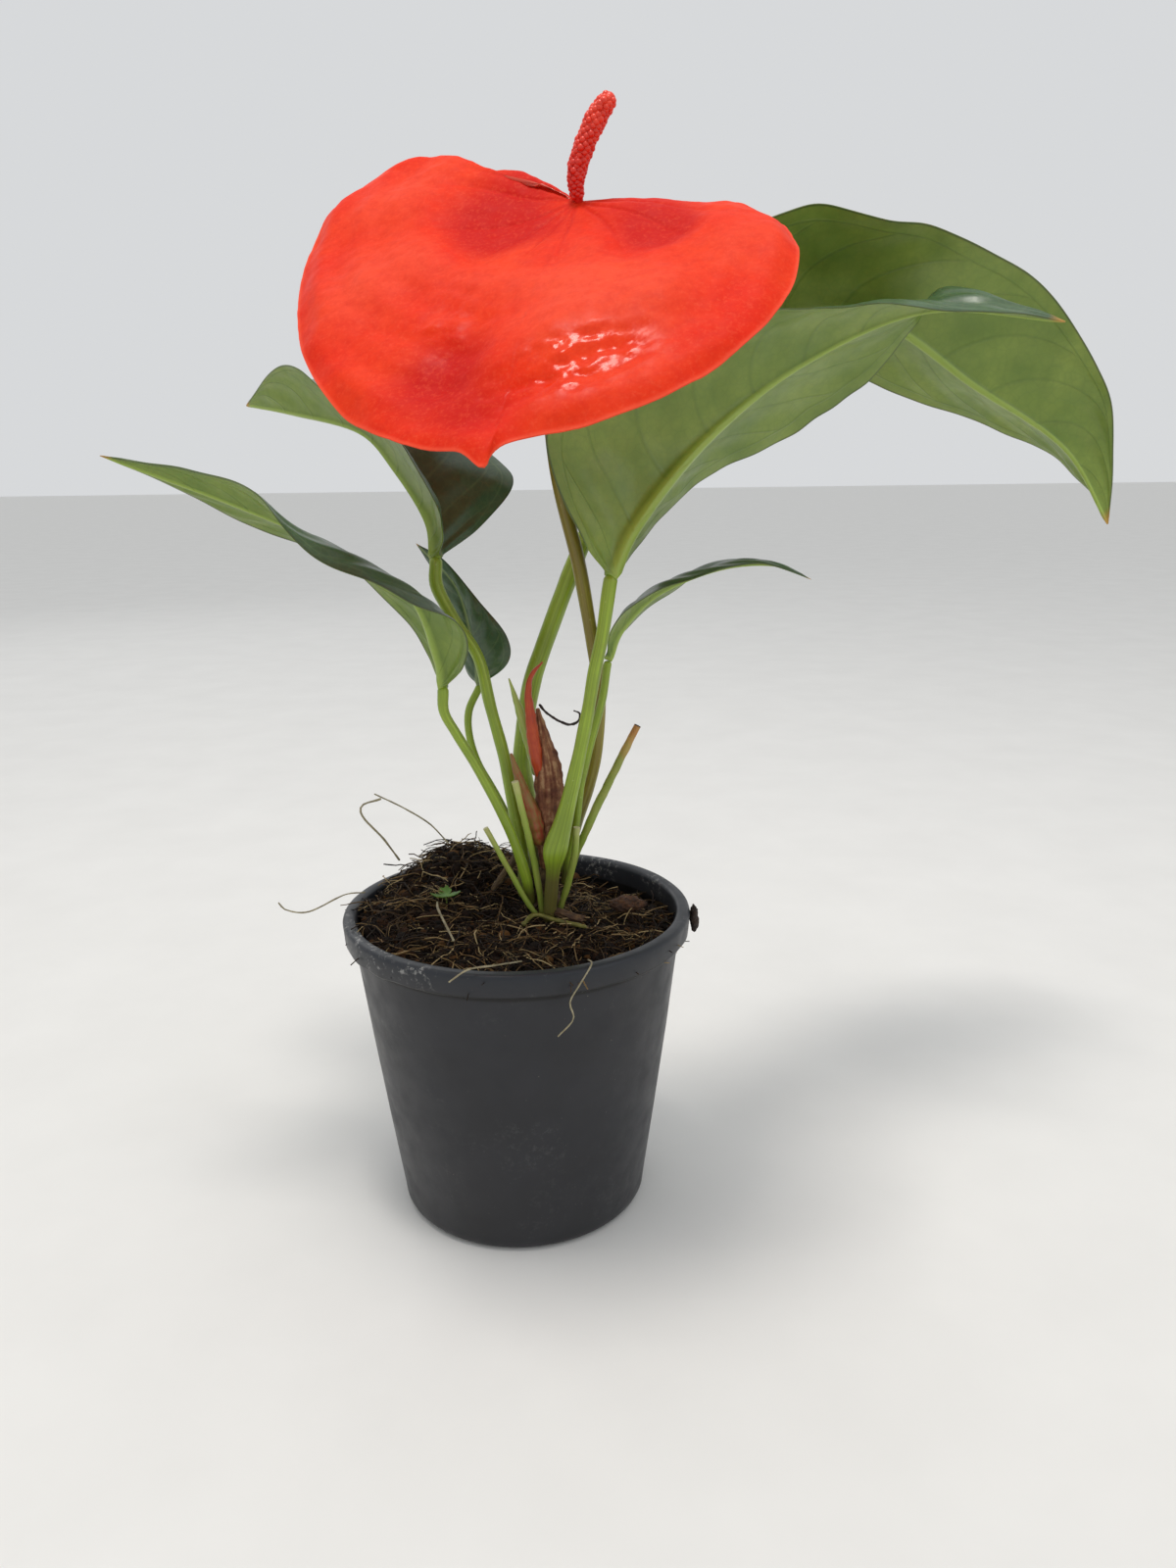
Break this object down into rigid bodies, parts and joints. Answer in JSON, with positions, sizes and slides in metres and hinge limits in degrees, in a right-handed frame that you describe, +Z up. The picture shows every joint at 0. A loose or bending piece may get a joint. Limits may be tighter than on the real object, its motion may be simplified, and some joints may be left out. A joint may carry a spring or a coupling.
{
  "type": "potted anthurium",
  "caption": "Potted anthurium: a red heart-shaped spathe with its spadix over arching green leaves on slim stalks, rooted in fibrous mix in a round dark nursery pot.",
  "frame": {"origin": "centre of the pot's flat underside, on the surface that the pot stands on", "axes": "+Z up along the pot's axis; -Y the side that the flower leans towards; +X the side of the largest leaf tips"},
  "size_m": [0.355, 0.1891, 0.377],
  "materials": {
    "pot": "moulded polypropylene, satin, slate grey",
    "mix": "coir and peat potting mix, damp",
    "stem_base": "corky brown stem base",
    "leaf": "waxy leaf, satin, glossier on the upper side",
    "stalk": "smooth green stalk",
    "flower_stalk": "smooth olive stalk",
    "spathe": "waxy glossy spathe",
    "spadix": "bumpy satin spadix",
    "papery_sheath": "dry papery sheath",
    "new_leaf": "smooth rolled new leaf",
    "pink_sheath": "pink and olive sheath",
    "dry_tendril": "black dried tendril",
    "bark": "rough bark",
    "coir": "matted coir",
    "weed": "soft green leaflets",
    "root": "pale root",
    "straw": "dry fibre"
  },
  "bodies": {
    "root": {"pot": "pot", "potting_mix": "mix", "crown": "stem_base", "aerial_root": "stem_base", "front_leaf_blade": "leaf", "right_leaf_blade": "leaf", "left_leaf_blade": "leaf", "twisted_leaf_blade": "leaf", "small_leaf_blade": "leaf", "narrow_leaf_blade": "leaf", "front_leaf_stalk": "stalk", "right_leaf_stalk": "stalk", "left_leaf_stalk": "stalk", "twisted_leaf_stalk": "stalk", "small_leaf_stalk": "stalk", "narrow_leaf_stalk": "stalk", "flower_stalk": "flower_stalk", "spathe": "spathe", "spadix": "spadix", "papery_sheath": "papery_sheath", "new_leaf_spike": "new_leaf", "green_bract": "stalk", "pink_sheath": "pink_sheath", "cut_stub_right": "stalk", "cut_stub_middle": "stalk", "cut_stub_left": "stalk", "cut_stub_front": "stalk", "dry_tendril": "dry_tendril", "bark_chip": "bark", "coir_lump": "coir", "weed_seedling": "weed", "pale_root": "root", "bent_fibre": "straw", "grass_stalk": "straw", "arched_fibre": "straw", "left_fibre": "straw", "hanging_root": "straw", "rim_fibre": "straw", "rim_clod": "mix"}
  },
  "joints": []
}
